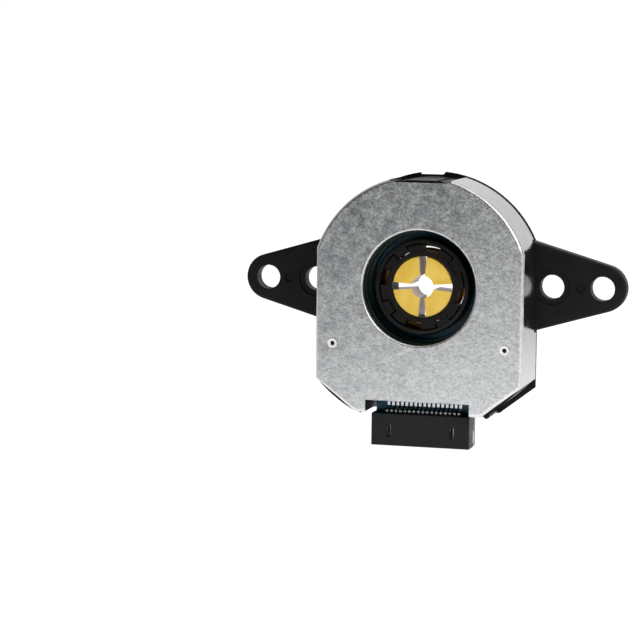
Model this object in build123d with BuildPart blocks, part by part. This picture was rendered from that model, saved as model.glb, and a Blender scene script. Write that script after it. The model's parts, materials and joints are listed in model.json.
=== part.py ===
from build123d import *
import os
from math import cos, radians, sin, sqrt

os.makedirs("parts", exist_ok=True)

# Modular hollow-shaft rotary encoder with a wide two-eared base.
#
# Frame: the shaft turns on the Y axis. The rear mounting face lies in the plane Y = 0 and
# faces +Y, towards the motor. X runs along the ears and Z points away from the connector.
# Every sketch below lies on Plane.XZ moved forward, so a "station" is the distance in mm
# ahead of the mounting face, towards -Y, and extrude(amount) grows towards -Y.

# ---------------------------------------------------------------- driving dimensions, mm
# Cover: round top, flat sides, two chamfered lower corners
cover_radius = 14.82
half_width = 14.0
corner_top_z = -12.55
tip_x = 8.5
tip_z = -16.8
cover_front = 10.2
cover_rear = 0.6
sheet = 0.4
cover_bend = 0.5
hole_roll = 0.3
ear_relief_z = 6.2
ear_relief_front = 2.15
cover_hole_r = 7.6
connector_notch_x = 7.03
connector_notch_z = -15.1
latch_notch_x = 4.15
latch_notch_z = 13.87
stake_x = 11.62
stake_z = -7.71
collar_r = 0.65
collar_hole_r = 0.36
collar_height = 0.15

# Base: flange, ears and snap arms
flange_thickness = 2.0
rim_thickness = 0.5
rim_radius = 14.92
rim_half_width = 14.0
rim_corner_out = 0.95
rim_bottom_z = -17.45
platform_inset = 0.55
bay_half_width = 8.0
bay_top_z = -16.7
tool_notch_z = 14.5
tool_notch_left = -2.2
tool_notch_right = 0.9
tool_notch_slant = 1.2
pilot_r = 7.0
ear_inner_x = 32.44 / 2
ear_outer_x = 46.025 / 2
ear_hole_r = 1.625
ear_tip_r = 3.15
ear_root_r = 7.1
ear_root_x = 9.0
ear_counterbore_r = 2.45
ear_counterbore_depth = 0.25
ear_dimple_x = 20.07
ear_dimple_r = 0.65
ear_dimple_depth = 0.3
edge_round = 0.35
arm_front = 9.65
arm_inside = 0.62
arm_bulge = 0.3
arm_top_gap = 0.15
barb_depth = 0.6
barb_reach = 0.3
barb_bulge = 0.01
heel_r = 0.42
heel_x = 8.62
heel_z = -17.0
heel_front = 6.5
latch_half_width = 2.05
latch_inner_z = 13.25
latch_outer_z = 14.15

# Housing inside the cover
housing_rear = 2.1
housing_front = 9.0
housing_clearance = 0.15
arm_clearance = 0.13
housing_wall = 0.8
lip_front = 2.5
lip_r = 11.9
boss_r = 1.1
boss_rear = 5.5
boss_gap = 0.05
stake_r = 0.33
stake_proud = 0.06
shelf_x = 12.55
shelf_z = -9.5
shelf_width = 0.9
shelf_height = 3.0
latch_slot_play = 0.3
latch_slot_depth = 1.8
window_half_width = 7.1
window_top_z = -12.8
cheek_width = 0.7
cheek_bottom_z = -16.75

# Stepped rings of the cover spacer: bore radius, rear and front station
spacer_outer_r = 8.6
spacer_steps = ((7.2, 5.3, 6.8), (7.55, 6.8, 8.3), (7.9, 8.3, 9.75))

# Boards and rotor
board_r = 12.5
transmitter_rear = 2.5
transmitter_front = 3.1
transmitter_hole_r = 7.2
tab_half_width = 4.2
tab_z = -14.4
main_rear = 4.3
main_front = 5.3
main_radius = 13.2
tongue_half_width = 6.7
tongue_z = -21.3
main_bottom_z = -15.3
board_overlap = 1.0
board_wall_gap = 0.1
gap_spacer_inner_r = 11.9
tab_gap = 0.2
pin_count = 6
pin_pitch = 1.27
pin_z = -13.5
pin_hole_r = 0.4
pin_width = 0.45
pin_shoulder_r = 0.5
pin_proud = 0.5
disc_rear = 3.4
disc_front = 4.0
disc_r = 11.5
disc_play = 0.03
neck_r = 5.75
neck_bore_r = 5.25
hub_rear = 2.45
hub_flange_r = 6.9
cup_rear = 5.6
cup_floor = 6.0
cup_front = 8.4
cup_r = 6.4
cup_bore_r = 5.8
lug_inner_r = 4.9
lug_front = 8.3
lug_angle = 19.0
lug_root = 0.2
window_angle = 28.0
cup_rim_round = 0.2
bushing_bore_r = 5.8
bushing_r = 6.28
bushing_play = 0.02
bushing_flange_r = 6.4
bushing_front = 5.5

# Shaft adapter and collet
adapter_rear = 4.5
adapter_front = 8.3
adapter_bore_r = 4.1
adapter_r = 4.75
tooth_r = 5.6
tooth_rear = 6.4
tooth_angle = 22.0
tooth_start = 10.0
tooth_count = 8
tooth_root = 0.3
adapter_lead_in = 0.2
collet_rear = 3.9
collet_front = 8.0
collet_r = 4.05
collet_flange_r = 4.95
shaft_r = 1.5
slot_width_inner = 0.65
slot_width_outer = 1.1
slot_overrun = 0.15
collet_edge_round = 0.15

# Connector
contact_count = 17
contact_pitch = 0.6156
contact_width = 0.36
contact_thickness = 0.2
contact_station = 6.5
contact_tip_z = -20.5
contact_bend_top_z = -16.75
contact_foot_low_z = -16.5
contact_foot_top_z = -15.5
contact_bend_r = 0.2
connector_half_width = 6.69
connector_front = 8.2
connector_top_z = -17.15
connector_bottom_z = -21.4
connector_round = 0.25
cavity_half_width = 6.0
cavity_rear = 5.95
cavity_front = 7.55
cavity_roof_z = -18.3
channel_play = 0.03
rib_top_z = -16.8
rib_width = 0.14
rib_rear = 5.75
rib_front = 6.9
rib_root = 0.1
lock_window_x = 4.3
lock_window_width = 0.62
lock_window_height = 1.6
lock_window_z = -19.43
hold_down_z = -20.1
hold_down_width = 0.48
hold_down_height = 1.6
hold_down_thickness = 0.28
hold_down_play = 0.04

# Small electronics
chip_edge = 0.12
lead_thickness = 0.15
driver_lead_pitch = 0.5
driver_lead_width = 0.22
lead_reach = 0.8
regulator_lead_pitch = 0.95
regulator_lead_width = 0.4
regulator_tab_reach = 0.6
block_width = 0.6
block_length = 1.1
capacitor_height = 0.6
resistor_height = 0.35
capacitor_ring_r = 10.6
resistor_ring_r = 11.9

# Cutting tools reach this far past what they cut
past = 4.0


# ---------------------------------------------------------------------- shared outlines
def body_outline(width, radius, corner_in, bottom):
    """Round top of the given radius, flat sides at +-width and two chamfered lower corners.

    corner_in draws the chamfers towards the axis; a negative value moves them outwards."""
    slope = (tip_z - corner_top_z) / (tip_x - half_width)
    drop = corner_in * sqrt(1 + slope**2)
    shoulder = sqrt(radius**2 - width**2)
    corner_z = corner_top_z + drop + slope * (width - half_width)
    corner_x = half_width + (bottom - drop - corner_top_z) / slope
    with BuildSketch(mode=Mode.PRIVATE) as outline:
        with BuildLine():
            ThreePointArc((-width, shoulder), (0, radius), (width, shoulder))
            Polyline(
                (width, shoulder),
                (width, corner_z),
                (corner_x, bottom),
                (-corner_x, bottom),
                (-width, corner_z),
                (-width, shoulder),
            )
        make_face()
    return outline.sketch_local


def inner_outline(inset, corner_in):
    """The cover outline drawn in by inset, with its chamfers drawn in by corner_in."""
    return body_outline(half_width - inset, cover_radius - inset, corner_in, tip_z + inset)


def ring_sector(inner, outer, middle, spread):
    """Flat ring sector between two radii, centred on the angle middle, spread degrees wide."""
    first = radians(middle - spread / 2)
    last = radians(middle + spread / 2)
    centre = radians(middle)
    with BuildSketch(mode=Mode.PRIVATE) as sector:
        with BuildLine():
            ThreePointArc(
                (outer * cos(first), outer * sin(first)),
                (outer * cos(centre), outer * sin(centre)),
                (outer * cos(last), outer * sin(last)),
            )
            Line((outer * cos(last), outer * sin(last)), (inner * cos(last), inner * sin(last)))
            ThreePointArc(
                (inner * cos(last), inner * sin(last)),
                (inner * cos(centre), inner * sin(centre)),
                (inner * cos(first), inner * sin(first)),
            )
            Line((inner * cos(first), inner * sin(first)), (outer * cos(first), outer * sin(first)))
        make_face()
    return sector.sketch_local


def station(distance):
    """Sketch plane at a distance ahead of the mounting face."""
    return Plane.XZ.offset(distance)


# ------------------------------------------------------------------------ mounting base
chamfer_slope = (tip_z - corner_top_z) / (tip_x - half_width)
chamfer_length = sqrt(1 + chamfer_slope**2)
arm_normal = (chamfer_slope / chamfer_length, -1 / chamfer_length)


def arm_outline(side, inside, bulge):
    """Section of a snap arm: straight inside, bowed outside, following a lower chamfer."""
    top_z = corner_top_z - arm_top_gap
    inner_drop = inside * chamfer_length
    inner_top_x = half_width + (top_z - inner_drop - corner_top_z) / chamfer_slope
    outer_top_x = half_width + (top_z - corner_top_z) / chamfer_slope
    middle_x = (outer_top_x + tip_x) / 2 + bulge * arm_normal[0]
    middle_z = (top_z + tip_z) / 2 + bulge * arm_normal[1]
    inner_tip_x = tip_x - inside * arm_normal[0]
    inner_tip_z = tip_z - inside * arm_normal[1]
    with BuildSketch(mode=Mode.PRIVATE) as section:
        with BuildLine():
            ThreePointArc(
                (side * outer_top_x, top_z),
                (side * middle_x, middle_z),
                (side * tip_x, tip_z),
            )
            Polyline(
                (side * tip_x, tip_z),
                (side * inner_tip_x, inner_tip_z),
                (side * inner_top_x, top_z),
                (side * outer_top_x, top_z),
            )
        make_face()
    return section.sketch_local


def ear_outline(side):
    """Tapering ear: the hull of a wide circle inside the flange and the round tip."""
    with BuildSketch(mode=Mode.PRIVATE) as ear:
        with Locations((side * ear_root_x, 0)):
            Circle(ear_root_r)
        with Locations((side * ear_outer_x, 0)):
            Circle(ear_tip_r)
        make_hull()
    return ear.sketch_local


with BuildPart() as mounting_base:
    # platform inside the cover, with the two ears
    with BuildSketch(station(0)):
        add(inner_outline(platform_inset, 0))
        for side in (-1, 1):
            add(ear_outline(side))
    extrude(amount=flange_thickness)
    front_rim = mounting_base.faces().sort_by(Axis.Y)[0].outer_wire().edges()
    fillet(front_rim, edge_round)
    # thin rim behind the cover's edge, with a bay for the connector and a tool notch
    with BuildSketch(station(0)):
        add(body_outline(rim_half_width, rim_radius, -rim_corner_out, rim_bottom_z))
    extrude(amount=rim_thickness)
    with BuildSketch(station(0)):
        with Locations((0, bay_top_z)):
            Rectangle(2 * bay_half_width, past, align=(Align.CENTER, Align.MAX))
        with BuildLine():
            Polyline(
                (tool_notch_left, tool_notch_z),
                (tool_notch_right, tool_notch_z),
                (tool_notch_right + tool_notch_slant, rim_radius + 1),
                (tool_notch_left, rim_radius + 1),
                close=True,
            )
        make_face()
    extrude(amount=flange_thickness, mode=Mode.SUBTRACT)
    # two snap arms along the lower chamfers, each with a barb over the housing rim
    for side in (-1, 1):
        with BuildSketch(station(rim_thickness / 2)):
            add(arm_outline(side, arm_inside, arm_bulge))
        extrude(amount=arm_front - rim_thickness / 2)
        with BuildSketch(station(arm_front - barb_depth)):
            add(arm_outline(side, arm_inside + barb_reach, barb_bulge))
        extrude(amount=barb_depth)
        with BuildSketch(station(rim_thickness / 2)):
            with Locations((side * heel_x, heel_z)):
                Circle(heel_r)
        extrude(amount=heel_front - rim_thickness / 2)
    # top latch with its barb
    with BuildSketch(station(flange_thickness / 2)):
        with Locations((0, (latch_inner_z + latch_outer_z) / 2)):
            Rectangle(2 * latch_half_width, latch_outer_z - latch_inner_z)
    extrude(amount=arm_front - flange_thickness / 2)
    with BuildSketch(station(arm_front - barb_depth)):
        with Locations((0, latch_inner_z)):
            Rectangle(2 * latch_half_width, 2 * barb_reach)
    extrude(amount=barb_depth)
    # pilot bore, ear holes with shallow counterbores, and gate dimples
    with BuildSketch(station(0)):
        Circle(pilot_r)
        with Locations(
            (-ear_outer_x, 0),
            (-ear_inner_x, 0),
            (ear_inner_x, 0),
            (ear_outer_x, 0),
        ):
            Circle(ear_hole_r)
    extrude(amount=flange_thickness, mode=Mode.SUBTRACT)
    with BuildSketch(station(flange_thickness - ear_counterbore_depth)):
        with Locations((-ear_inner_x, 0), (ear_inner_x, 0)):
            Circle(ear_counterbore_r)
    extrude(amount=ear_counterbore_depth, mode=Mode.SUBTRACT)
    with BuildSketch(station(flange_thickness - ear_dimple_depth)):
        with Locations((-ear_dimple_x, 0), (ear_dimple_x, 0)):
            Circle(ear_dimple_r)
    extrude(amount=ear_dimple_depth, mode=Mode.SUBTRACT)
mounting_base.part.label = "mounting_base"
export_step(mounting_base.part, "parts/mounting_base.step")

# ------------------------------------------------------- module housing inside the cover
housing_inset = sheet + housing_clearance
housing_corner = arm_inside + arm_clearance
with BuildPart() as module_housing:
    with BuildSketch(station(housing_rear)):
        add(inner_outline(housing_inset, housing_corner))
        add(
            inner_outline(housing_inset + housing_wall, housing_corner + housing_wall),
            mode=Mode.SUBTRACT,
        )
    extrude(amount=housing_front - housing_rear)
    # rear lip that carries the transmitter board
    with BuildSketch(station(housing_rear)):
        add(inner_outline(housing_inset, housing_corner))
        Circle(lip_r, mode=Mode.SUBTRACT)
    extrude(amount=lip_front - housing_rear)
    # stake bosses, with the pins that pass through the cover
    with BuildSketch(station(boss_rear)):
        with Locations((-stake_x, stake_z), (stake_x, stake_z)):
            Circle(boss_r)
    extrude(amount=cover_front - sheet - boss_gap - boss_rear)
    with BuildSketch(station(housing_front)):
        with Locations((-stake_x, stake_z), (stake_x, stake_z)):
            Circle(stake_r)
    extrude(amount=cover_front + stake_proud - housing_front)
    # shelf blocks under the main board at both sides
    with BuildSketch(station(lip_front)):
        with Locations((-shelf_x, shelf_z), (shelf_x, shelf_z)):
            Rectangle(shelf_width, shelf_height)
    extrude(amount=main_rear - lip_front)
    # slot for the top latch
    with BuildSketch(station(housing_rear)):
        with Locations((0, cover_radius)):
            Rectangle(2 * (latch_half_width + latch_slot_play), 2 * latch_slot_depth)
    extrude(amount=housing_front - housing_rear, mode=Mode.SUBTRACT)
    # window for the board tongue, the transmitter tab and the connector, with two cheeks
    with BuildSketch(station(housing_rear)):
        with Locations((0, window_top_z)):
            Rectangle(2 * window_half_width, 2 * past, align=(Align.CENTER, Align.MAX))
    extrude(amount=housing_front - housing_rear, mode=Mode.SUBTRACT)
    with BuildSketch(station(housing_rear)):
        for side in (-1, 1):
            with Locations((side * (window_half_width + cheek_width / 2), cheek_bottom_z)):
                Rectangle(cheek_width, housing_wall, align=(Align.CENTER, Align.MIN))
    extrude(amount=housing_front - housing_rear)
module_housing.part.label = "module_housing"
export_step(module_housing.part, "parts/module_housing.step")

# -------------------------------------------------------------------------- front cover
with BuildPart() as front_cover:
    with BuildSketch(station(cover_rear)):
        add(inner_outline(0, 0))
    extrude(amount=cover_front - cover_rear)
    fillet(front_cover.faces().sort_by(Axis.Y)[0].outer_wire().edges(), cover_bend)
    with BuildSketch(station(cover_rear)):
        add(inner_outline(sheet, sheet))
    extrude(amount=cover_front - sheet - cover_rear, mode=Mode.SUBTRACT)
    # the side wall stops at the chamfers, where the snap arms lie
    with BuildSketch(station(cover_rear)):
        with Locations((0, corner_top_z)):
            Rectangle(2 * (half_width + past), 2 * past, align=(Align.CENTER, Align.MAX))
    extrude(amount=cover_front - sheet - cover_rear, mode=Mode.SUBTRACT)
    # and stands clear of the ears' roots
    with BuildSketch(station(cover_rear)):
        Rectangle(2 * (half_width + past), 2 * ear_relief_z)
    extrude(amount=ear_relief_front - cover_rear, mode=Mode.SUBTRACT)
    # latch notch at the top, connector notch at the bottom, shaft opening in the middle
    with BuildSketch(station(cover_rear)):
        with Locations((0, latch_notch_z)):
            Rectangle(2 * latch_notch_x, past, align=(Align.CENTER, Align.MIN))
        with Locations((0, connector_notch_z)):
            Rectangle(2 * connector_notch_x, past, align=(Align.CENTER, Align.MAX))
        Circle(cover_hole_r)
        with Locations((-stake_x, stake_z), (stake_x, stake_z)):
            Circle(collar_hole_r)
    extrude(amount=cover_front - cover_rear, mode=Mode.SUBTRACT)
    hole_edges = front_cover.edges().filter_by(GeomType.CIRCLE)
    hole_edges = hole_edges.filter_by(lambda e: abs(e.radius - cover_hole_r) < 0.01)
    fillet(hole_edges.sort_by(Axis.Y)[0], hole_roll)
    # drawn collars round the two stakes
    with BuildSketch(station(cover_front - sheet / 2)):
        with Locations((-stake_x, stake_z), (stake_x, stake_z)):
            Circle(collar_r)
            Circle(collar_hole_r, mode=Mode.SUBTRACT)
    extrude(amount=sheet / 2 + collar_height)
front_cover.part.label = "front_cover"
export_step(front_cover.part, "parts/front_cover.step")

# ------------------------------------- stepped spacer round the shaft well of the cover
with BuildPart() as cover_spacer:
    for bore_r, rear, front in spacer_steps:
        with BuildSketch(station(rear)):
            Circle(spacer_outer_r)
            Circle(bore_r, mode=Mode.SUBTRACT)
        extrude(amount=front - rear)
cover_spacer.part.label = "cover_spacer"
export_step(cover_spacer.part, "parts/cover_spacer.step")

# ------------------------------------------------------------------------------- boards
with BuildPart() as main_board:
    with BuildSketch(station(main_rear)):
        board_corner = housing_corner + housing_wall + board_wall_gap
        add(body_outline(board_r, main_radius, board_corner, main_bottom_z))
        tongue_top_z = main_bottom_z + board_overlap
        with Locations((0, tongue_top_z)):
            Rectangle(
                2 * tongue_half_width,
                tongue_top_z - tongue_z,
                align=(Align.CENTER, Align.MAX),
            )
        Circle(bushing_r + bushing_play, mode=Mode.SUBTRACT)
        with Locations((0, pin_z)):
            with GridLocations(pin_pitch, 1, pin_count, 1):
                Circle(pin_hole_r, mode=Mode.SUBTRACT)
    extrude(amount=main_front - main_rear)
main_board.part.label = "main_board"
export_step(main_board.part, "parts/main_board.step")

with BuildPart() as transmitter_board:
    with BuildSketch(station(transmitter_rear)):
        Circle(board_r)
        with Locations((0, tab_z)):
            Rectangle(2 * tab_half_width, past, align=(Align.CENTER, Align.MIN))
        Circle(transmitter_hole_r, mode=Mode.SUBTRACT)
        with Locations((0, pin_z)):
            with GridLocations(pin_pitch, 1, pin_count, 1):
                Circle(pin_hole_r, mode=Mode.SUBTRACT)
    extrude(amount=transmitter_front - transmitter_rear)
transmitter_board.part.label = "transmitter_board"
export_step(transmitter_board.part, "parts/transmitter_board.step")

# spacer ring that holds the two boards apart round the rotor disc
with BuildPart() as gap_spacer:
    with BuildSketch(station(transmitter_front)):
        Circle(board_r)
        Circle(gap_spacer_inner_r, mode=Mode.SUBTRACT)
        with Locations((0, -board_r)):
            Rectangle(2 * (tab_half_width + tab_gap), past, mode=Mode.SUBTRACT)
    extrude(amount=main_rear - transmitter_front)
gap_spacer.part.label = "gap_spacer"
export_step(gap_spacer.part, "parts/gap_spacer.step")

# square pins that join the two boards electrically
with BuildPart() as board_pins:
    with BuildSketch(station(transmitter_rear)):
        with Locations((0, pin_z)):
            with GridLocations(pin_pitch, 1, pin_count, 1):
                Rectangle(pin_width, pin_width)
    extrude(amount=main_front + pin_proud - transmitter_rear)
    # shoulders that keep the gap
    with BuildSketch(station(transmitter_front)):
        with Locations((0, pin_z)):
            with GridLocations(pin_pitch, 1, pin_count, 1):
                Circle(pin_shoulder_r)
    extrude(amount=main_rear - transmitter_front)
board_pins.part.label = "board_pins"
export_step(board_pins.part, "parts/board_pins.step")

# -------------------------------------------------------------------------------- rotor
with BuildPart() as rotor_bushing:
    with BuildSketch(Plane.XY):
        with BuildLine():
            Polyline(
                (bushing_bore_r, -main_rear),
                (bushing_r, -main_rear),
                (bushing_r, -main_front),
                (bushing_flange_r, -main_front),
                (bushing_flange_r, -bushing_front),
                (bushing_bore_r, -bushing_front),
                close=True,
            )
        make_face()
    revolve(axis=Axis.Y)
rotor_bushing.part.label = "rotor_bushing"
export_step(rotor_bushing.part, "parts/rotor_bushing.step")

with BuildPart() as rotor_hub:
    with BuildSketch(Plane.XY):
        with BuildLine():
            Polyline(
                (neck_bore_r, -hub_rear),
                (hub_flange_r, -hub_rear),
                (hub_flange_r, -disc_rear),
                (neck_r, -disc_rear),
                (neck_r, -cup_rear),
                (neck_bore_r, -cup_rear),
                close=True,
            )
        make_face()
    revolve(axis=Axis.Y)
rotor_hub.part.label = "rotor_hub"
export_step(rotor_hub.part, "parts/rotor_hub.step")

with BuildPart() as rotor_disc:
    with BuildSketch(station(disc_rear)):
        Circle(disc_r)
        Circle(neck_r + disc_play, mode=Mode.SUBTRACT)
    extrude(amount=disc_front - disc_rear)
rotor_disc.part.label = "rotor_disc"
export_step(rotor_disc.part, "parts/rotor_disc.step")

gap_pitch = 360 / tooth_count
with BuildPart() as drive_cup:
    with BuildSketch(station(cup_rear)):
        Circle(cup_r)
        Circle(neck_bore_r, mode=Mode.SUBTRACT)
    extrude(amount=cup_floor - cup_rear)
    with BuildSketch(station(cup_floor)):
        Circle(cup_r)
        Circle(cup_bore_r, mode=Mode.SUBTRACT)
    extrude(amount=cup_front - cup_floor)
    # four lugs, one in every second gap between the adapter's teeth
    for index in range(tooth_count // 2):
        middle = tooth_start + gap_pitch / 2 + 2 * gap_pitch * index
        with BuildSketch(station(cup_floor)):
            add(ring_sector(lug_inner_r, cup_bore_r + lug_root, middle, lug_angle))
        extrude(amount=lug_front - cup_floor)
    # four windows in the floor under the open gaps, over the front of the hub's neck
    for index in range(tooth_count // 2):
        middle = tooth_start - gap_pitch / 2 + 2 * gap_pitch * index
        with BuildSketch(station(cup_rear)):
            add(ring_sector(neck_bore_r - lug_root, neck_r, middle, window_angle))
        extrude(amount=cup_floor - cup_rear, mode=Mode.SUBTRACT)
    cup_rim = drive_cup.faces().sort_by(Axis.Y)[0].edges().sort_by(Edge.length)[-1]
    fillet(cup_rim, cup_rim_round)
drive_cup.part.label = "drive_cup"
export_step(drive_cup.part, "parts/drive_cup.step")

# ----------------------------------------------------------- shaft adapter and collet
with BuildPart() as shaft_adapter:
    with BuildSketch(station(adapter_rear)):
        Circle(adapter_r)
        Circle(adapter_bore_r, mode=Mode.SUBTRACT)
    extrude(amount=adapter_front - adapter_rear)
    for index in range(tooth_count):
        with BuildSketch(station(tooth_rear)):
            add(
                ring_sector(
                    adapter_r - tooth_root, tooth_r, tooth_start + gap_pitch * index, tooth_angle
                )
            )
        extrude(amount=adapter_front - tooth_rear)
    bore_edges = shaft_adapter.edges().filter_by(GeomType.CIRCLE)
    bore_edges = bore_edges.filter_by(lambda e: abs(e.radius - adapter_bore_r) < 0.01)
    chamfer(bore_edges.sort_by(Axis.Y)[0], adapter_lead_in)
shaft_adapter.part.label = "shaft_adapter"
export_step(shaft_adapter.part, "parts/shaft_adapter.step")

with BuildPart() as collet_sleeve:
    with BuildSketch(station(collet_rear)):
        Circle(collet_flange_r)
        Circle(shaft_r, mode=Mode.SUBTRACT)
    extrude(amount=adapter_rear - collet_rear)
    with BuildSketch(station(adapter_rear)):
        Circle(collet_r)
        Circle(shaft_r, mode=Mode.SUBTRACT)
    extrude(amount=collet_front - adapter_rear)
    front_edge = collet_sleeve.faces().sort_by(Axis.Y)[0].edges().sort_by(Edge.length)[-1]
    fillet(front_edge, collet_edge_round)
    # four tapering slots, closed only by the outer part of the rear flange
    slot_corners = (
        (0, -slot_width_inner / 2),
        (shaft_r, -slot_width_inner / 2),
        (collet_r + slot_overrun, -slot_width_outer / 2),
        (collet_r + slot_overrun, slot_width_outer / 2),
        (shaft_r, slot_width_inner / 2),
        (0, slot_width_inner / 2),
    )
    with BuildSketch(station(collet_rear)):
        with PolarLocations(0, 4):
            Polygon(*slot_corners, align=None)
    extrude(amount=collet_front - collet_rear, mode=Mode.SUBTRACT)
collet_sleeve.part.label = "collet_sleeve"
export_step(collet_sleeve.part, "parts/collet_sleeve.step")

# ---------------------------------------------------------------------------- connector
contact_xs = [contact_pitch * (index - (contact_count - 1) / 2) for index in range(contact_count)]
with BuildPart() as connector_housing:
    with BuildSketch(station(main_front)):
        with Locations((0, (connector_top_z + connector_bottom_z) / 2)):
            Rectangle(2 * connector_half_width, connector_top_z - connector_bottom_z)
    extrude(amount=connector_front - main_front)
    long_edges = connector_housing.edges().filter_by(Axis.Z)
    fillet(long_edges.group_by(Axis.Y)[0], connector_round)
    # comb of ribs between the contact tails
    with BuildSketch(station(rib_rear)):
        with Locations((0, connector_top_z - rib_root)):
            with GridLocations(contact_pitch, 1, contact_count + 1, 1):
                rib_height = rib_top_z - connector_top_z + rib_root
                Rectangle(rib_width, rib_height, align=(Align.CENTER, Align.MIN))
    extrude(amount=rib_front - rib_rear)
    # mating cavity, open downwards
    with BuildSketch(station(cavity_rear)):
        with Locations((0, cavity_roof_z)):
            Rectangle(2 * cavity_half_width, past, align=(Align.CENTER, Align.MAX))
    extrude(amount=cavity_front - cavity_rear, mode=Mode.SUBTRACT)
    # contact channels through the roof
    with BuildSketch(station(contact_station - contact_thickness / 2 - channel_play)):
        with Locations((0, cavity_roof_z - rib_root)):
            with GridLocations(contact_pitch, 1, contact_count, 1):
                channel_width = contact_width + 2 * channel_play
                Rectangle(channel_width, past, align=(Align.CENTER, Align.MIN))
    extrude(amount=contact_thickness + 2 * channel_play, mode=Mode.SUBTRACT)
    # two lock windows in the front wall
    with BuildSketch(station(cavity_front)):
        with Locations((-lock_window_x, lock_window_z), (lock_window_x, lock_window_z)):
            Rectangle(lock_window_width, lock_window_height)
    extrude(amount=connector_front - cavity_front, mode=Mode.SUBTRACT)
    # seats of the hold-downs at both ends, against the board
    for side in (-1, 1):
        with BuildSketch(station(main_front)):
            with Locations((side * connector_half_width, hold_down_z)):
                seat_height = hold_down_height + 2 * hold_down_play
                Rectangle(2 * (hold_down_width + hold_down_play), seat_height)
        extrude(amount=hold_down_thickness + hold_down_play, mode=Mode.SUBTRACT)
connector_housing.part.label = "connector_housing"
export_step(connector_housing.part, "parts/connector_housing.step")

with BuildPart() as connector_contacts:
    for contact_x in contact_xs:
        with BuildSketch(Plane.YZ.offset(contact_x - contact_width / 2)):
            with BuildLine():
                foot_y = -main_front - contact_thickness / 2
                FilletPolyline(
                    (-contact_station, contact_tip_z),
                    (-contact_station, contact_bend_top_z),
                    (foot_y, contact_foot_low_z),
                    (foot_y, contact_foot_top_z),
                    radius=contact_bend_r,
                )
            trace(line_width=contact_thickness)
        extrude(amount=contact_width)
connector_contacts.part.label = "connector_contacts"
export_step(connector_contacts.part, "parts/connector_contacts.step")

with BuildPart() as connector_hold_downs:
    for side in (-1, 1):
        with BuildSketch(station(main_front)):
            with Locations((side * (connector_half_width - hold_down_width / 2), hold_down_z)):
                Rectangle(hold_down_width, hold_down_height)
        extrude(amount=hold_down_thickness)
connector_hold_downs.part.label = "connector_hold_downs"
export_step(connector_hold_downs.part, "parts/connector_hold_downs.step")

# ------------------------------------------------------- electronics on the main board
# name: centre x, centre z, width, height, thickness
chips = {
    "position_chip": (0.0, -11.3, 4.6, 3.6, 0.9),
    "line_driver": (-6.6, -11.6, 4.4, 4.0, 1.0),
    "memory_chip": (6.6, -12.0, 3.0, 3.0, 0.8),
    "voltage_regulator": (10.4, -2.0, 1.7, 3.0, 1.1),
    "crystal": (-10.4, -2.4, 2.5, 3.2, 0.7),
}
for name, (centre_x, centre_z, width, height, thickness) in chips.items():
    with BuildPart() as chip:
        with BuildSketch(station(main_front)):
            with Locations((centre_x, centre_z)):
                Rectangle(width, height)
        extrude(amount=thickness)
        chamfer(chip.faces().sort_by(Axis.Y)[0].edges(), chip_edge)
    chip.part.label = name
    export_step(chip.part, f"parts/{name}.step")

# leads of the line driver (two rows of eight) and of the regulator (three and two)
driver_x, driver_z, driver_width, driver_height, driver_thickness = chips["line_driver"]
regulator_x, regulator_z, regulator_width, regulator_height, _ = chips["voltage_regulator"]
with BuildPart() as chip_leads:
    with BuildSketch(station(main_front)):
        for side in (-1, 1):
            with Locations((driver_x + side * (driver_width + lead_reach) / 2, driver_z)):
                with GridLocations(1, driver_lead_pitch, 1, 8):
                    Rectangle(lead_reach, driver_lead_width)
        with Locations((regulator_x - (regulator_width + lead_reach) / 2, regulator_z)):
            with GridLocations(1, regulator_lead_pitch, 1, 3):
                Rectangle(lead_reach, regulator_lead_width)
        with Locations((regulator_x + (regulator_width + regulator_tab_reach) / 2, regulator_z)):
            with GridLocations(1, 2 * regulator_lead_pitch, 1, 2):
                Rectangle(regulator_tab_reach, regulator_lead_width)
    extrude(amount=lead_thickness)
chip_leads.part.label = "chip_leads"
export_step(chip_leads.part, "parts/chip_leads.step")

# small ceramic capacitors and resistors, each placed by radius and angle round the shaft
with BuildPart() as capacitors:
    with BuildSketch(station(main_front)):
        with PolarLocations(capacitor_ring_r, 9, start_angle=22, angular_range=136, endpoint=True):
            Rectangle(block_width, block_length)
    extrude(amount=capacitor_height)
capacitors.part.label = "capacitors"
export_step(capacitors.part, "parts/capacitors.step")

with BuildPart() as resistors:
    with BuildSketch(station(main_front)):
        with PolarLocations(resistor_ring_r, 9, start_angle=28, angular_range=124, endpoint=True):
            Rectangle(block_width, block_length)
    extrude(amount=resistor_height)
resistors.part.label = "resistors"
export_step(resistors.part, "parts/resistors.step")
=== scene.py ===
# %% [markdown]
# # A hollow-shaft rotary encoder
#
# The object is a module about 28 mm wide that clips over the end of a motor shaft.
# A thin steel cover hides two circuit boards; a plastic base with two long ears carries
# them, and a yellow collet in a black rotor grips the shaft.
#
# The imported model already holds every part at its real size. It is loaded first, as a
# fixed frame, and each piece below is placed from it.

# %% Load the frame
import bmesh
import bpy
import json
from math import cos, pi, radians, sin
from mathutils import Matrix, Quaternion, Vector


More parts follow.
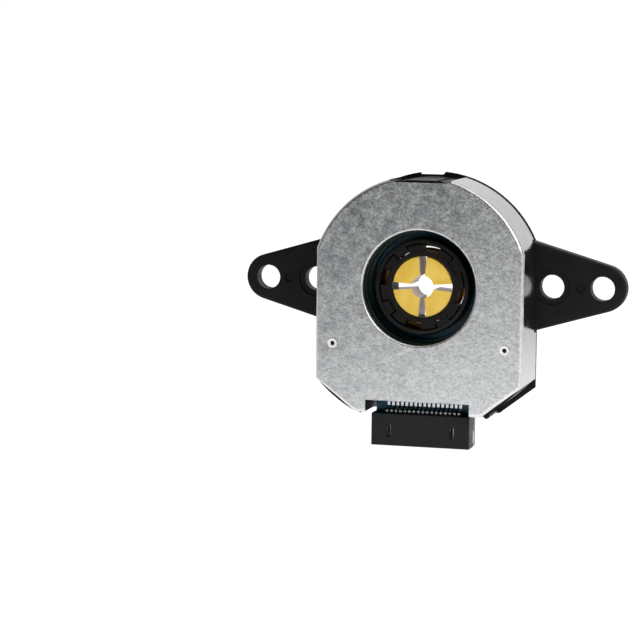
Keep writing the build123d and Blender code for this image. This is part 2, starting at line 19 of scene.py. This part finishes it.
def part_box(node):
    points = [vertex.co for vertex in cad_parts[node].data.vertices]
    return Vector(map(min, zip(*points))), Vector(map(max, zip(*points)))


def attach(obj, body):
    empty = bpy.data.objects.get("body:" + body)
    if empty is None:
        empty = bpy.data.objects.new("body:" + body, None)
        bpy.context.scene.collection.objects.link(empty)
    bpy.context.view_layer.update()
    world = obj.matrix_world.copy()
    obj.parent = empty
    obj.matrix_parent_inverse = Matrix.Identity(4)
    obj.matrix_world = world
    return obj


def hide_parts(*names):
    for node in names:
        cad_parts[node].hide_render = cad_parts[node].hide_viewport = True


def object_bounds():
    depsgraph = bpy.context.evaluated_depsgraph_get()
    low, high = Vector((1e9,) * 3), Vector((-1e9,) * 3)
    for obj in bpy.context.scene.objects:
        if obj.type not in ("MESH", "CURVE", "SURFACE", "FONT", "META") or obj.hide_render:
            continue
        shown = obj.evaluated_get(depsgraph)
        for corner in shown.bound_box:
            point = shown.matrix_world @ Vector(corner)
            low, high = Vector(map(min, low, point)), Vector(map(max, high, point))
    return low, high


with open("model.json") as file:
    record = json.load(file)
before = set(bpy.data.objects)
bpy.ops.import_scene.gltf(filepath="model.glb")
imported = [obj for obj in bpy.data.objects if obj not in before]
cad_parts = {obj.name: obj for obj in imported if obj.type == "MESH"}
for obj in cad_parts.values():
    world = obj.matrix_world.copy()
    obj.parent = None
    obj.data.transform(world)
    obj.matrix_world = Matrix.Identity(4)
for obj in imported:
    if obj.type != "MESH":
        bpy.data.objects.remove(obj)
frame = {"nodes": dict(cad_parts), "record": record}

MM = 0.001
cad_low, cad_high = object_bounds()
print("CAD box in mm:", [round(v / MM, 2) for v in cad_high - cad_low])

# %% [markdown]
# ## Camera
#
# A long lens from a little to the right and a little above keeps the round cover almost
# free of perspective. The camera could be aimed with a constraint, but here it is placed
# by azimuth, elevation and distance from the point that it looks at, which makes each of
# the three easy to change alone. That point lies left of the module, so that the module
# stands in the right half of the picture.

# %% Camera
aim = Vector((-14.82, -5.0, -5.33)) * MM
camera_azimuth = radians(15.54)
camera_elevation = radians(6.44)
camera_distance = 328.3 * MM
camera_roll = radians(0.64)
camera_lens = 136.6

backwards = Vector((
    sin(camera_azimuth) * cos(camera_elevation),
    -cos(camera_azimuth) * cos(camera_elevation),
    sin(camera_elevation),
))
camera = bpy.data.objects.new("camera", bpy.data.cameras.new("camera"))
bpy.context.scene.collection.objects.link(camera)
camera.data.lens = camera_lens
camera.data.clip_start = 0.01
camera.data.clip_end = 20
camera.location = aim + backwards * camera_distance
camera.rotation_mode = "QUATERNION"
level = (-backwards).to_track_quat("-Z", "Y")
camera.rotation_quaternion = level @ Quaternion((0, 0, 1), camera_roll)
bpy.context.scene.camera = camera
print("camera at mm:", [round(v / MM, 1) for v in camera.location])

# %% [markdown]
# ## Colours, nodes and patterns
#
# Real surfaces are never one flat colour, so every finish here starts from cloudy noise
# in object space. Object space is measured in metres, so a pattern's scale is one over
# its real size. `node` adds one shader node with its settings and links, and the other
# helpers are only combinations of it.

# %% Helpers for patterns
# sockets of the Mix node, which has one pair of inputs for numbers and one for colours
mix_factor, number_a, number_b, colour_a, colour_b = 0, 2, 3, 6, 7


def colour(code):
    """Linear RGBA from an sRGB hex colour such as "#c8c8c8"."""
    channels = [int(code[start:start + 2], 16) / 255 for start in (1, 3, 5)]
    return [c / 12.92 if c < 0.04045 else ((c + 0.055) / 1.055) ** 2.4 for c in channels] + [1]


def node(tree, kind, inputs=None, stops=(), **settings):
    """Adds a node. Inputs are values or sockets to link, stops are a colour ramp's."""
    made = tree.nodes.new(kind)
    for name, value in settings.items():
        setattr(made, name, value)
    for name, value in (inputs or {}).items():
        if isinstance(value, bpy.types.NodeSocket):
            tree.links.new(value, made.inputs[name])
        else:
            made.inputs[name].default_value = value
    for index, (place, code) in enumerate(stops):
        if index < 2:
            stop = made.color_ramp.elements[index]
            stop.position = place
        else:
            stop = made.color_ramp.elements.new(place)
        stop.color = colour(code)
    return made


def noise(tree, size_mm, detail=2.0, rough=0.5, stretch=(1, 1, 1)):
    """Cloudy pattern in object space with features about size_mm across."""
    place = node(tree, "ShaderNodeTexCoord")
    scaled = node(tree, "ShaderNodeMapping", {
        "Vector": place.outputs["Object"], "Scale": [s / (size_mm * MM) for s in stretch]})
    return node(tree, "ShaderNodeTexNoise", {
        "Vector": scaled.outputs[0], "Scale": 1.0, "Detail": detail,
        "Roughness": rough}).outputs[0]


def ranged(tree, value, low, high, start=0.3, end=0.7):
    """Maps the middle of a noise onto the span low to high."""
    return node(tree, "ShaderNodeMapRange", {
        "Value": value, "From Min": start, "From Max": end,
        "To Min": low, "To Max": high}).outputs[0]


# %% [markdown]
# ## One finish, many surfaces
#
# What the surfaces share is a colour that drifts between two shades, a roughness that
# drifts with it, and a fine relief from the mould or the rolling mill. A painted texture
# could hold these too, but noise needs no picture file and has no seams. The constants
# that a surface adds, such as IOR, go straight onto the shader's own sockets.

# %% The finish helper


def finish(name, shades, patch_mm, rough, relief_mm, grain_mm, **shader_values):
    """A surface whose colour and roughness drift over patch_mm, with relief in grains."""
    made = bpy.data.materials.new(name)
    made.use_nodes = True
    tree = made.node_tree
    shader = tree.nodes["Principled BSDF"]
    drift = noise(tree, patch_mm, detail=4.0)
    ramp = node(tree, "ShaderNodeValToRGB", {"Fac": drift},
                stops=[(0.35, shades[0]), (0.65, shades[1])])
    height = node(tree, "ShaderNodeBump", {
        "Height": noise(tree, grain_mm), "Distance": relief_mm * MM, "Strength": 1.0})
    tree.links.new(ramp.outputs["Color"], shader.inputs["Base Color"])
    tree.links.new(ranged(tree, drift, *rough), shader.inputs["Roughness"])
    tree.links.new(height.outputs["Normal"], shader.inputs["Normal"])
    for socket, value in shader_values.items():
        shader.inputs[socket.replace("_", " ")].default_value = value
    return made


# %% [markdown]
# ## Floor
#
# The module stands on a white light table, as small parts do for a catalogue. A table
# could be lit from below by lamps; here the surface itself glows, brightest under the
# module and fading outwards, because polished steel shows the table and a fading glow
# gives it the soft change from dark at the top to bright at the bottom.

# %% Floor
stage_size = 6.0
glow_near = 1.22
glow_far = 0.12
glow_centre = Vector((25, -30, 0)) * MM
glow_full_reach = 30 * MM
glow_end_reach = 270 * MM
floor_gap_mm = 0.02
table_brightness = 0.9

floor_mesh = bmesh.new()
bmesh.ops.create_circle(floor_mesh, cap_ends=True, segments=96, radius=stage_size)
floor_data = bpy.data.meshes.new("floor")
floor_mesh.to_mesh(floor_data)
floor_mesh.free()
floor_data.transform(Matrix.Translation((0, 0, cad_low.z - floor_gap_mm * MM)))
floor = bpy.data.objects.new("floor", floor_data)
bpy.context.scene.collection.objects.link(floor)

table = finish("matt_white_light_table", ("#8c8c8c", "#929292"), 60, (0.7, 0.8), 0.01, 2.0)
tree = table.node_tree
shader = tree.nodes["Principled BSDF"]
place = node(tree, "ShaderNodeTexCoord")
centred = node(tree, "ShaderNodeMapping", {
    "Vector": place.outputs["Object"], "Location": -glow_centre})
away = node(tree, "ShaderNodeVectorMath", {0: centred.outputs[0]}, operation="LENGTH")
glow = ranged(tree, away.outputs["Value"], glow_near, glow_far,
              start=glow_full_reach, end=glow_end_reach)
path = node(tree, "ShaderNodeLightPath")
shown = node(tree, "ShaderNodeMix", {
    mix_factor: path.outputs["Is Camera Ray"], number_a: glow, number_b: table_brightness})
shader.inputs["Emission Color"].default_value = colour("#ffffff")
tree.links.new(shown.outputs[0], shader.inputs["Emission Strength"])
floor_data.materials.append(table)
print("floor at mm:", round(floor_data.vertices[0].co.z / MM, 2))

# %% [markdown]
# ## Room and lamps
#
# Steel shows whatever stands in front of it, so the room is dim in front and bright
# behind: the flat cover turns grey while its side wall stays light. Two large soft boxes
# above give the plastic its rounded highlights. An image of a studio could light the
# scene as well, but a plain gradient keeps every reflection clean.

# %% World
room_front = 0.06
room_back = 0.92
room_turn = 0.7

world = bpy.data.worlds.new("studio")
bpy.context.scene.world = world
world.use_nodes = True
sky = world.node_tree
background = sky.nodes["Background"]
path = node(sky, "ShaderNodeLightPath")
direction = node(sky, "ShaderNodeTexCoord")
apart = node(sky, "ShaderNodeSeparateXYZ", {"Vector": direction.outputs["Generated"]})
depth = ranged(sky, apart.outputs["Y"], room_front, room_back, start=-room_turn, end=room_turn)
grey = node(sky, "ShaderNodeCombineColor", {"Red": depth, "Green": depth, "Blue": depth})
mixed = node(sky, "ShaderNodeMix", {
    mix_factor: path.outputs["Is Camera Ray"], colour_a: grey.outputs[0],
    colour_b: colour("#ffffff")}, data_type="RGBA")
sky.links.new(mixed.outputs[2], background.inputs["Color"])
bpy.context.scene.view_settings.view_transform = "Standard"
print("room brightness, front and back:", room_front, room_back)

# %% [markdown]
# ## Soft boxes
#
# A soft box is a lamp behind white cloth. An area light is its simplest model: the
# larger it is, the softer its highlight. The big one hangs above, and the small one on
# the right is the key. It stands outside the angle at which the flat cover would mirror
# it, so the zinc keeps its grey.

# %% Lamps


def soft_box(name, place_mm, width_mm, height_mm, power, aim_mm=(0, -5, 0)):
    """Rectangular area light at place_mm that faces aim_mm."""
    lamp = bpy.data.lights.new(name, "AREA")
    lamp.shape = "RECTANGLE"
    lamp.size = width_mm * MM
    lamp.size_y = height_mm * MM
    lamp.energy = power
    made = bpy.data.objects.new(name, lamp)
    bpy.context.scene.collection.objects.link(made)
    made.location = Vector(place_mm) * MM
    made.rotation_mode = "QUATERNION"
    towards = (Vector(aim_mm) - Vector(place_mm)).normalized()
    made.rotation_quaternion = towards.to_track_quat("-Z", "Y")
    made.visible_camera = False
    return made


soft_box("top_box", (60, -160, 330), 300, 300, 0.3)
soft_box("key_box", (260, -260, 200), 160, 160, 0.8)

# %% [markdown]
# ## Mesh helpers
#
# `piece` ends the making of every new piece: it merges doubles, marks the sharp edges,
# gives the piece its finish, parents it to the empty of the body it rides on and hides
# the packed parts it stands for. `eased` breaks the sharp edges with a Bevel modifier.
# No moulded or stamped edge is perfectly sharp, and the thin highlight along it is what
# makes it read as real.

# %% Helpers for meshes
smooth_angle = radians(32)
merge_mm = 0.0005
flat_angle = radians(0.5)
broken_edge_angle = radians(30)


def piece(name, mesh, body, materials, stands_for=()):
    """Turns a bmesh into a finished piece that rides on a CAD body."""
    bmesh.ops.remove_doubles(mesh, verts=mesh.verts, dist=merge_mm * MM)
    for face in mesh.faces:
        face.smooth = True
    for edge in mesh.edges:
        edge.smooth = not edge.is_manifold or edge.calc_face_angle(0) < smooth_angle
    data = bpy.data.meshes.new(name)
    mesh.to_mesh(data)
    mesh.free()
    for material in materials:
        data.materials.append(material)
    made = bpy.data.objects.new(name, data)
    bpy.context.scene.collection.objects.link(made)
    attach(made, body)
    if stands_for:
        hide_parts(*stands_for)
    print(name, len(data.polygons), "faces")
    return made


def packed_copy(name):
    """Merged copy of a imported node's mesh, with its flat areas made whole faces."""
    mesh = bmesh.new()
    mesh.from_mesh(frame["nodes"][name].data)
    bmesh.ops.remove_doubles(mesh, verts=mesh.verts, dist=merge_mm * MM)
    bmesh.ops.dissolve_limit(
        mesh, angle_limit=flat_angle, verts=mesh.verts, edges=mesh.edges)
    return mesh


def eased(made, width_mm, segments=2):
    """Breaks the sharp edges of a piece, as moulding or tumbling does."""
    bevel = made.modifiers.new("eased_edges", "BEVEL")
    bevel.width = width_mm * MM
    bevel.segments = segments
    bevel.limit_method = "ANGLE"
    bevel.angle_limit = broken_edge_angle
    bevel.harden_normals = True


body_of_node = {}
for body, names in frame["record"]["behaviour"]["bodies"].items():
    body_of_node.update({name: body for name in names})
slot_of_node = {row["node"]: row["material_slot"] for row in frame["record"]["subparts"]}
print("slots:", sorted(set(slot_of_node.values())))

# %% [markdown]
# ## Black moulded plastics
#
# Nearly every black part here is injection moulded, but from different plastics. The
# base is glass-filled nylon, whose fibres leave a faintly cloudy, half-matt skin. The
# housing is PBT, a little smoother. The rotor parts are acetal and PPS from polished
# moulds, so they shine more. Their grain is drawn at 0.1 mm, coarser than the real
# one, so that it shows at all. Black plastic is mostly a mirror at a few per cent, so
# the roughness matters more than the colour.

# %% Black moulded plastics
finishes = {}
# moulded glass-filled nylon: half matt, slightly cloudy
finishes["base_plastic"] = finish(
    "glass_filled_nylon", ("#070808", "#0e0f0f"), 2.5, (0.4, 0.56), 0.007, 0.16, IOR=1.45,
    Specular_IOR_Level=0.2)
# moulded PBT: the same black, a shade smoother
finishes["housing_plastic"] = finish(
    "black_pbt", ("#070707", "#0d0e0e"), 2.5, (0.4, 0.54), 0.005, 0.12, IOR=1.45,
    Specular_IOR_Level=0.3)
# moulded polycarbonate with a faint green cast along the edges of the well
finishes["spacer_plastic"] = finish(
    "green_black_polycarbonate", ("#081614", "#12261f"), 4.0, (0.26, 0.38), 0.002, 0.1, IOR=1.5,
    Specular_IOR_Level=0.4)
# acetal from a polished mould: deep black with soft highlights
finishes["rotor_plastic"] = finish(
    "black_acetal", ("#080808", "#100f0e"), 1.6, (0.3, 0.44), 0.004, 0.09, IOR=1.47,
    Specular_IOR_Level=0.2)
# PPS, slightly warm against the acetal round it
finishes["adapter_plastic"] = finish(
    "black_pps", ("#0a0908", "#13100d"), 1.6, (0.32, 0.46), 0.004, 0.09, IOR=1.47,
    Specular_IOR_Level=0.18)
# liquid-crystal polymer of the connector: matt, with faint flow marks
finishes["connector_plastic"] = finish(
    "black_lcp", ("#0a0b0b", "#131414"), 1.2, (0.42, 0.58), 0.005, 0.08, IOR=1.48,
    Specular_IOR_Level=0.25)
# graphite-filled bush: dark grey and dry
finishes["bushing_plastic"] = finish(
    "graphite_filled_bush", ("#1a1b1d", "#27292b"), 1.0, (0.4, 0.5), 0.003, 0.08, IOR=1.5)
# epoxy of the chip bodies: matt from the mould's spark-eroded skin
finishes["chip_epoxy"] = finish(
    "moulded_epoxy", ("#17181a", "#212325"), 0.8, (0.5, 0.62), 0.006, 0.05, IOR=1.55)
print("black finishes:", len(finishes))

# %% [markdown]
# ## Coloured plastics, ceramics and board
#
# The collet is natural-yellow acetal, slightly waxy: a little light enters it and comes
# back, so its edges glow instead of going black. Subsurface gives that. The hub behind
# it is the same kind of plastic in amber. The boards are glass-epoxy sheet under a navy
# solder mask, which is a glossy ink with the weave just felt through it at 0.35 mm.

# %% Coloured plastics, ceramics and board
finishes["collet_plastic"] = finish(
    "yellow_acetal", ("#dfb63f", "#e9c658"), 2.2, (0.36, 0.5), 0.005, 0.14, IOR=1.48,
    Subsurface_Weight=0.15, Subsurface_Scale=0.0006)
# painted reflection: the pale mauve-grey colour of the slot walls stands in for the bright room
# they mirror at a grazing angle
slot_wall_painted_reflection = finish(
    "acetal_slot_wall_painted_reflection", ("#a3857a", "#bba59a"), 0.8, (0.25, 0.35), 0.004, 0.12, IOR=1.48)
finishes["hub_plastic"] = finish(
    "amber_acetal", ("#c78a1d", "#d99c2b"), 2.0, (0.34, 0.46), 0.003, 0.09, IOR=1.48,
    Subsurface_Weight=0.1, Subsurface_Scale=0.0005)
finishes["capacitor_ceramic"] = finish(
    "fired_capacitor_ceramic", ("#8d7457", "#a38a6a"), 0.6, (0.4, 0.5), 0.002, 0.04, IOR=1.8)
finishes["resistor_film"] = finish(
    "glazed_resistor_film", ("#141517", "#1f2123"), 0.6, (0.22, 0.32), 0.002, 0.05, IOR=1.6)
finishes["circuit_board"] = finish(
    "navy_solder_mask", ("#05455a", "#0a5a72"), 2.0, (0.24, 0.36), 0.005, 0.35, IOR=1.55,
    Specular_IOR_Level=0.2)
print("finishes so far:", sorted(finishes))

# %% [markdown]
# ## Small metals
#
# Pins are gold over nickel, tails and leads are matt tin, the crystal can is bright
# nickel. They are all metallic shaders with the default IOR, and differ in base colour
# and in how sharp their reflections are.

# %% Small metals
finishes["gold_plate"] = finish(
    "gold_plated_pins", ("#c9a24b", "#d9b560"), 0.5, (0.15, 0.25), 0.001, 0.05, Metallic=1.0)
finishes["contact_tin"] = finish(
    "matt_tin_plate", ("#d6d8d9", "#e8e9ea"), 0.5, (0.25, 0.38), 0.001, 0.05, Metallic=1.0)
finishes["crystal_can"] = finish(
    "nickel_plated_can", ("#b3b1aa", "#c6c4bd"), 0.8, (0.18, 0.28), 0.001, 0.05, Metallic=1.0)
solder = finish(
    "reflowed_solder", ("#a9abad", "#c9cacb"), 0.3, (0.12, 0.22), 0.004, 0.1, Metallic=1.0)
print("metals ready")

# %% [markdown]
# ## Zinc-plated sheet steel
#
# The cover is stamped from hot-dip plated sheet. As the zinc freezes it forms a spangle:
# crystals a millimetre or so across, each tilted a little, so each shows a different bit
# of the room. It could be drawn as painted patches, but real spangle changes with the
# light, so here most of it is relief: a coarse noise for the crystals, a fine one for
# the rolling grain, and sparse scratches from handling. The colour drifts a little, and
# a soft dull cloud of mottle is multiplied in. It is strongest towards the upper left,
# so it darkens the top of the cover as painted shade.

# %% Zinc-plated sheet steel
cloud_mm = 1.5
# upper_left and the three numbers below weight the multiplied clouds: least at the bottom, full
# at the upper left, which paints shade over the top of the cover
upper_left = (-0.75, 0, 1)
least_mottle_and_painted_shade = 0.15
weakest_mottle_and_shade_below = -16 * MM
fullest_mottle_and_shade_above = 10 * MM
spangle_mm = 0.75
spangle_depth_mm = 0.03
grain_mm = 0.26
grain_depth_mm = 0.016
scratch_mm = 0.5
scratch_depth_mm = 0.008

spangled = finish(
    "hot_dip_zinc_on_steel", ("#bcbebf", "#dedfe0"), 0.36, (0.3, 0.46),
    grain_depth_mm, grain_mm, Metallic=1.0)
tree = spangled.node_tree
shader = tree.nodes["Principled BSDF"]
grain_bump = shader.inputs["Normal"].links[0].from_node
drift_colour = shader.inputs["Base Color"].links[0].from_socket
clouds = node(tree, "ShaderNodeValToRGB", {"Fac": noise(tree, cloud_mm, detail=6.0, rough=0.65)},
              stops=[(0.34, "#b4b5b7"), (0.66, "#f0f1f1")])
where = node(tree, "ShaderNodeTexCoord")
height = node(tree, "ShaderNodeVectorMath", {
    0: where.outputs["Object"], 1: upper_left}, operation="DOT_PRODUCT")
# painted shade: this weight darkens the cover towards the upper left; the clouds it weights are
# the zinc's own mottle
mottle_and_painted_shade = ranged(tree, height.outputs["Value"], least_mottle_and_painted_shade, 1.0,
                 start=weakest_mottle_and_shade_below, end=fullest_mottle_and_shade_above)
mottled_and_shaded_colour = node(tree, "ShaderNodeMix", {
    mix_factor: mottle_and_painted_shade, colour_a: drift_colour, colour_b: clouds.outputs["Color"]},
    data_type="RGBA", blend_type="MULTIPLY")
tree.links.new(mottled_and_shaded_colour.outputs[2], shader.inputs["Base Color"])
crystals = noise(tree, spangle_mm, detail=6.0, rough=0.7)
coarse = node(tree, "ShaderNodeBump", {
    "Height": crystals, "Distance": spangle_depth_mm * MM, "Strength": 1.0,
    "Normal": grain_bump.outputs["Normal"]})
lines = noise(tree, scratch_mm, detail=0.0, stretch=(0.5, 1, 1.8))
cuts = ranged(tree, lines, 0.0, 1.0, start=0.8, end=0.84)
scratched = node(tree, "ShaderNodeBump", {
    "Height": cuts, "Distance": scratch_depth_mm * MM, "Strength": 1.0,
    "Normal": coarse.outputs["Normal"]})
tree.links.new(scratched.outputs["Normal"], shader.inputs["Normal"])
finishes["cover_steel"] = spangled

# the drawing die burnishes the wall, so it is nearly smooth and shows the ears
drawn_wall = finish(
    "die_burnished_zinc", ("#a2a3a4", "#b3b4b5"), 2.0, (0.12, 0.2), 0.004, 0.5, Metallic=1.0)
# the bends are stretched, which roughens the zinc and softens their highlight
rolled_bend = finish(
    "stretched_zinc_bend", ("#c6c7c8", "#d8d9da"), 0.8, (0.32, 0.42), 0.004, 0.3, Metallic=1.0)
# the collars round the stakes are rubbed bright by the forming punch
rubbed_collar = finish(
    "rubbed_zinc_collar", ("#eeefef", "#f8f8f8"), 0.5, (0.25, 0.35), 0.003, 0.15, Metallic=1.0)
print("nodes in the zinc:", len(tree.nodes))

# %% [markdown]
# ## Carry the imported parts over
#
# The moulded and electronic parts already have their true outlines. They could be built
# again from primitives, but a merged copy keeps every hole and tooth where the real one
# is. Each copy gets its finish and a broken edge as wide as that part really has: a
# tenth of a millimetre on the base, hardly any on the chips.

# %% Carried parts
carried = {
    "mounting_base": ("base_moulding", 0.1),
    "module_housing": ("housing_moulding", 0.06),
    "cover_spacer": ("well_rings", 0.05),
    "main_board": ("front_circuit_board", 0.02),
    "transmitter_board": ("rear_circuit_board", 0.02),
    "gap_spacer": ("board_gap_ring", 0.05),
    "board_pins": ("square_link_pins", 0.03),
    "rotor_bushing": ("journal_bush", 0.03),
    "rotor_hub": ("hub_moulding", 0.05),
    "rotor_disc": ("rotor_circuit_disc", 0.02),
    "drive_cup": ("lugged_drive_cup", 0.07),
    "shaft_adapter": ("toothed_adapter_ring", 0.07),
    "connector_housing": ("connector_moulding", 0.04),
    "connector_contacts": ("contact_springs", 0.02),
    "connector_hold_downs": ("hold_down_tabs", 0.02),
    "position_chip": ("position_chip_body", 0.02),
    "line_driver": ("line_driver_body", 0.02),
    "memory_chip": ("memory_chip_body", 0.02),
    "voltage_regulator": ("regulator_body", 0.02),
    "crystal": ("crystal_can_body", 0.05),
    "chip_leads": ("chip_lead_feet", 0.02),
    "capacitors": ("capacitor_bodies", 0.03),
    "resistors": ("resistor_bodies", 0.02),
}
for name, (title, break_mm) in carried.items():
    slot = slot_of_node[name]
    made = piece(title, packed_copy(name), body_of_node[name], [finishes[slot]], [name])
    eased(made, break_mm)

# %% [markdown]
# ## The split collet
#
# Four slots let the yellow sleeve close on the shaft. Their walls are sheared or moulded
# against a thin blade, which leaves them glossier than the front. Their paler, mauve-grey
# colour is a painted reflection of the bright room that the walls mirror at a grazing
# angle. The walls are found by their direction: they face sideways and lie inside the
# outer skin.

# %% Split collet
collet = piece(
    "split_collet", packed_copy("collet_sleeve"), "adapter",
    [finishes["collet_plastic"], slot_wall_painted_reflection], ["collet_sleeve"])
collet_skin = 3.95 * MM
sideways = 0.2
walls = 0
for face in collet.data.polygons:
    middle = Vector((face.center.x, face.center.z))
    if abs(face.normal.y) < sideways and middle.length < collet_skin:
        face.material_index = 1
        walls += 1
eased(collet, 0.04)
print("slot wall faces:", walls)

# %% [markdown]
# ## The steel cover
#
# The cover is one sheet, blanked and drawn. Its front keeps the zinc spangle, while the
# wall and the rolled edge of the hole are burnished by the die. A second material could
# be painted in with an attribute; picking the faces by direction is simpler, because the
# bend itself is where the real finish changes.

# %% Steel cover
cover = piece(
    "cover_sheet", packed_copy("front_cover"), "housing",
    [finishes["cover_steel"], drawn_wall, rolled_bend, rubbed_collar], ["front_cover"])
hole_reach = 9 * MM
facing_front = 0.9
square_to_front = 0.1
front_index, wall_index, bend_index, collar_index = range(4)
collar_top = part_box("front_cover")[0].y + 0.02 * MM
for face in cover.data.polygons:
    off_axis = Vector((face.center.x, face.center.z)).length
    if face.center.y < collar_top:
        face.material_index = collar_index
    elif abs(face.normal.y) < facing_front:
        flat_wall = abs(face.normal.y) < square_to_front and off_axis > hole_reach
        face.material_index = wall_index if flat_wall else bend_index
    else:
        face.material_index = front_index
eased(cover, 0.05, segments=3)
even = cover.modifiers.new("even_normals", "WEIGHTED_NORMAL")
even.keep_sharp = True
counts = [sum(f.material_index == i for f in cover.data.polygons) for i in range(4)]
print("front, wall, bend and collar faces:", counts)

# %% [markdown]
# ## Formed eyelets
#
# Where a plastic stake comes through the sheet, the hole's edge is pressed up into a
# small round bead. A bead is a circle carried round an axis, which is what the spin
# operator does, so a twelve-sided section is spun a full turn and merged with itself.

# %% Formed eyelets
stake_places = ((-11.62, -7.71), (11.62, -7.71))
bead_mm = 0.38
bead_section_mm = 0.1
cover_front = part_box("front_cover")[0].y
beads = bmesh.new()
for x, z in stake_places:
    centre = Vector((x * MM, cover_front + bead_section_mm * MM, z * MM))
    start = centre + Vector((bead_mm * MM, 0, 0))
    section = bmesh.ops.create_circle(
        beads, segments=12, radius=bead_section_mm * MM, matrix=Matrix.Translation(start))
    ring = section["verts"] + [e for e in beads.edges if e.verts[0] in section["verts"]]
    bmesh.ops.spin(beads, geom=ring, cent=centre, axis=(0, 1, 0), dvec=(0, 0, 0),
                   angle=2 * pi, steps=36, use_merge=True)
bmesh.ops.remove_doubles(beads, verts=beads.verts, dist=merge_mm * MM)
bmesh.ops.recalc_face_normals(beads, faces=beads.faces)
piece("eyelet_beads", beads, "housing", [rubbed_collar])

# %% [markdown]
# ## Solder on the connector tails
#
# Each of the seventeen tails is soldered to a pad at the edge of the board. Molten
# solder pulls itself into a low dome, so each joint is a small icosphere, flattened,
# and cut off where it meets the board with bisect.

# %% Solder domes
tail_count = 17
tail_pitch = 0.6156
tail_foot_z = -15.75
dome_size_mm = (0.22, 0.24, 0.3)
board_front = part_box("main_board")[0].y
domes = bmesh.new()
for index in range(tail_count):
    x = tail_pitch * (index - (tail_count - 1) / 2)
    place = Matrix.Translation((x * MM, board_front, tail_foot_z * MM))
    shape = Matrix.Diagonal((*[s * MM for s in dome_size_mm], 1))
    bmesh.ops.create_icosphere(domes, subdivisions=2, radius=1.0, matrix=place @ shape)
cut = bmesh.ops.bisect_plane(
    domes, geom=domes.verts[:] + domes.edges[:] + domes.faces[:], dist=merge_mm * MM,
    plane_co=(0, board_front, 0), plane_no=(0, 1, 0), clear_outer=True)
rims = [e for e in cut["geom_cut"] if isinstance(e, bmesh.types.BMEdge)]
bmesh.ops.edgeloop_fill(domes, edges=rims)
bmesh.ops.recalc_face_normals(domes, faces=domes.faces)
piece("tail_solder", domes, "housing", [solder])

# %% [markdown]
# ## Tinned ends of the small components
#
# Surface-mount capacitors and resistors are ceramic blocks dipped at both ends in
# metal. Each cap is a cube scaled to size and slid over the block's end, a few
# hundredths of a millimetre proud of it, with its edges rounded by a bevel.

# %% Tinned ends
cap_length_mm = 0.26
cap_proud_mm = 0.03
cap_edge_mm = 0.03
blocks_per_row = 9
block_mm = (0.6, 1.1)
# piece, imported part, ring radius in mm, first angle, span, block height in mm
rows = (
    ("capacitor_ends", "capacitors", 10.6, 22, 136, 0.6),
    ("resistor_ends", "resistors", 11.9, 28, 124, 0.35),
)
for title, name, ring_mm, first, span, height_mm in rows:
    ends = bmesh.new()
    for index in range(blocks_per_row):
        turn = Matrix.Rotation(-radians(first + span * index / (blocks_per_row - 1)), 4, "Y")
        for side in (-1, 1):
            z = side * (block_mm[1] - cap_length_mm + cap_proud_mm) / 2
            size = Matrix.Diagonal((
                (block_mm[0] + cap_proud_mm) * MM, (height_mm + cap_proud_mm) * MM,
                cap_length_mm * MM, 1))
            place = Matrix.Translation((
                ring_mm * MM, board_front - (height_mm + cap_proud_mm) * MM / 2, z * MM))
            bmesh.ops.create_cube(ends, size=1.0, matrix=turn @ place @ size)
    bmesh.ops.bevel(ends, geom=ends.edges[:], offset=cap_edge_mm * MM, affect="EDGES", segments=2,
                    profile=0.5, material=-1)
    piece(title, ends, "housing", [finishes["contact_tin"]])
